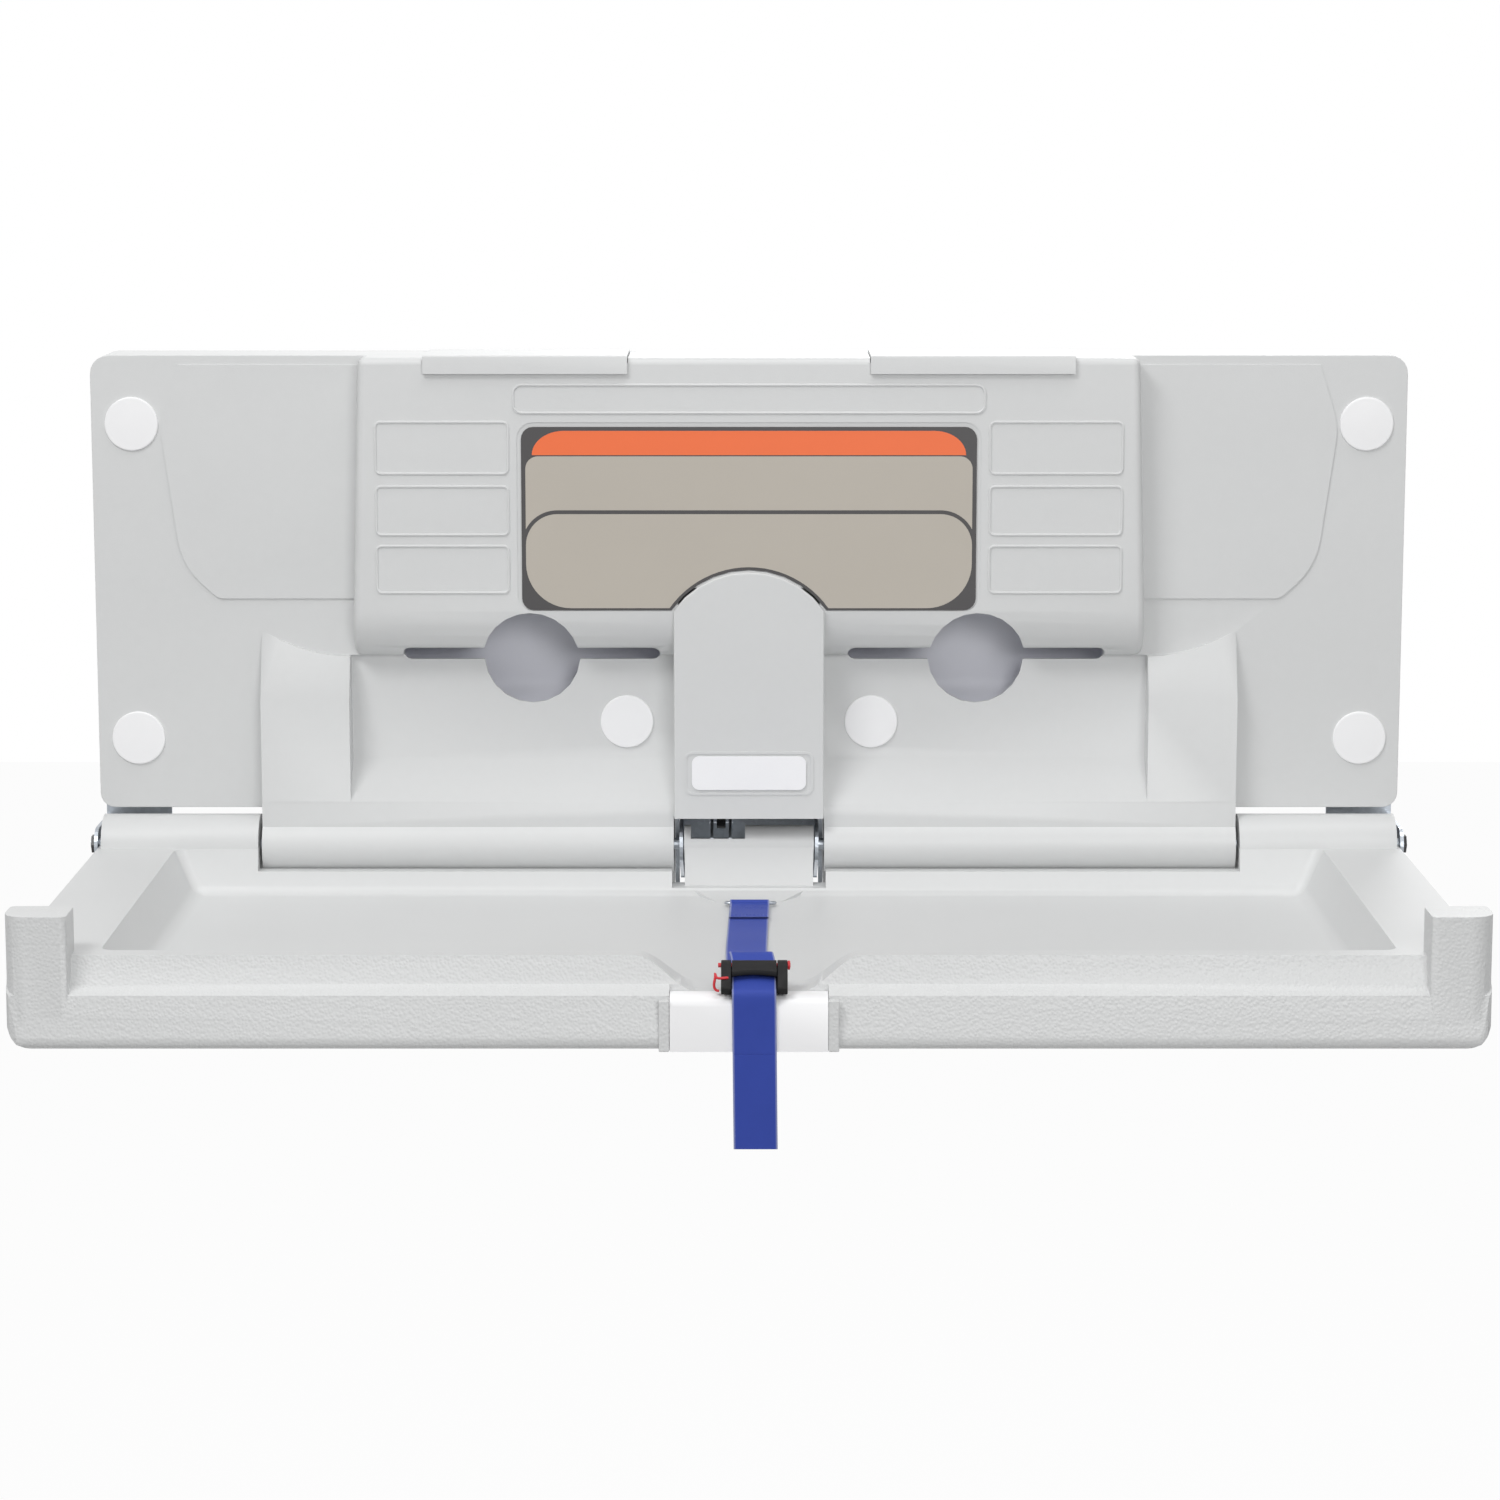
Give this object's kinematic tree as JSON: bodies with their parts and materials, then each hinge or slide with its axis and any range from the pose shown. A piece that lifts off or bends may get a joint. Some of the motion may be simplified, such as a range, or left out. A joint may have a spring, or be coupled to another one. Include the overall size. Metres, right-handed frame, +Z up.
{
  "type": "wall-mounted baby changing station",
  "caption": "Wall-mounted fold-down changing station: hollow wall body with lidded liner bins, tray bed on a hinge rod with a gas strut, strap with cam buckle.",
  "frame": {"origin": "on the wall plane, midway across the station, level with the bed's hinge line", "axes": "+X to the viewer's right along the wall, +Y into the wall, +Z up; the open bed reaches towards -Y"},
  "size_m": [0.8966, 0.439, 0.4465],
  "materials": {
    "grey_plastic": "light grey moulded polyethylene with a fine grain",
    "white_plastic": "white moulded plastic",
    "liner_bin_grey": "light violet-grey moulded plastic",
    "label_film": "printed film with plain colour fields",
    "zinc_steel": "zinc-plated steel",
    "black_steel": "black coated steel",
    "black_nylon": "black moulded nylon",
    "blue_webbing": "blue woven webbing",
    "red_pin": "red plastic pin",
    "nylon_bush": "natural nylon"
  },
  "bodies": {
    "wall_unit": {"wall_body": "grey_plastic", "back_panel": "grey_plastic", "front_label": "label_film", "centre_plate": "white_plastic", "cap_upper_left": "white_plastic", "cap_upper_right": "white_plastic", "cap_lower_left": "white_plastic", "cap_lower_right": "white_plastic", "cap_inner_left": "white_plastic", "cap_inner_right": "white_plastic", "panel_screw_upper_left": "zinc_steel", "panel_screw_upper_right": "zinc_steel", "panel_screw_lower_left": "zinc_steel", "panel_screw_lower_right": "zinc_steel", "panel_screw_inner_left": "zinc_steel", "panel_screw_inner_right": "zinc_steel", "liner_bin_left": "liner_bin_grey", "liner_bin_right": "liner_bin_grey", "lid_pin_left": "zinc_steel", "lid_pin_right": "zinc_steel", "hinge_rod": "zinc_steel", "hinge_bracket_left": "zinc_steel", "hinge_bracket_right": "zinc_steel", "rod_nut_left": "black_steel", "rod_nut_right": "black_steel", "centre_bracket": "zinc_steel", "strut_cylinder": "black_steel", "strut_seal": "nylon_bush", "strut_top_bracket": "zinc_steel", "strut_top_pin": "zinc_steel"},
    "strut_piston": {"strut_rod": "zinc_steel", "strut_eye": "black_nylon"},
    "lid_left": {"liner_lid_left": "grey_plastic"},
    "lid_right": {"liner_lid_right": "grey_plastic"},
    "bed": {"bed_tray": "grey_plastic", "bed_bottom_panel": "grey_plastic", "knuckle_sleeve_left": "zinc_steel", "knuckle_sleeve_right": "zinc_steel", "knuckle_bush_left": "nylon_bush", "knuckle_bush_right": "nylon_bush", "front_insert": "white_plastic", "crank_bracket": "zinc_steel", "crank_pin": "zinc_steel", "crank_bolt_1": "zinc_steel", "crank_bolt_2": "zinc_steel", "strap_upper": "blue_webbing", "strap_front": "blue_webbing", "strap_loop": "zinc_steel", "buckle_frame": "black_nylon", "buckle_pin": "red_pin"},
    "buckle_cam": {"buckle_lever": "black_nylon"},
    "strap_end": {"strap_tail": "blue_webbing"}
  },
  "joints": [
    {"name": "bed_hinge", "type": "hinge", "parent": "wall_unit", "child": "bed", "pos_m": [0, -0.054, 0], "axis": [-1, 0, 0], "range_deg": [0, 90]},
    {"name": "strut_slide", "type": "slide", "parent": "wall_unit", "child": "strut_piston", "axis": [0, 0, 1], "range_m": [-0.0284, 0]},
    {"name": "lid_left_hinge", "type": "hinge", "parent": "wall_unit", "child": "lid_left", "pos_m": [-0.149, -0.0095, 0.3309], "axis": [-1, 0, 0], "range_deg": [0, 95]},
    {"name": "lid_right_hinge", "type": "hinge", "parent": "wall_unit", "child": "lid_right", "pos_m": [0.149, -0.0095, 0.3309], "axis": [-1, 0, 0], "range_deg": [0, 95]},
    {"name": "buckle_lever_hinge", "type": "hinge", "parent": "bed", "child": "buckle_cam", "pos_m": [0.00318, -0.41734, -0.00569], "axis": [-1, 0, 0], "range_deg": [0, 60]},
    {"name": "strap_tail_hinge", "type": "hinge", "parent": "bed", "child": "strap_end", "pos_m": [0, -0.4377, -0.055], "axis": [-1, 0, 0], "range_deg": [-90, 0]}
  ],
  "couplings": [
    {"joint": "strut_slide", "follows": "bed_hinge", "m_per_rad": -0.018},
    {"joint": "strap_tail_hinge", "follows": "bed_hinge", "ratio": -1}
  ]
}
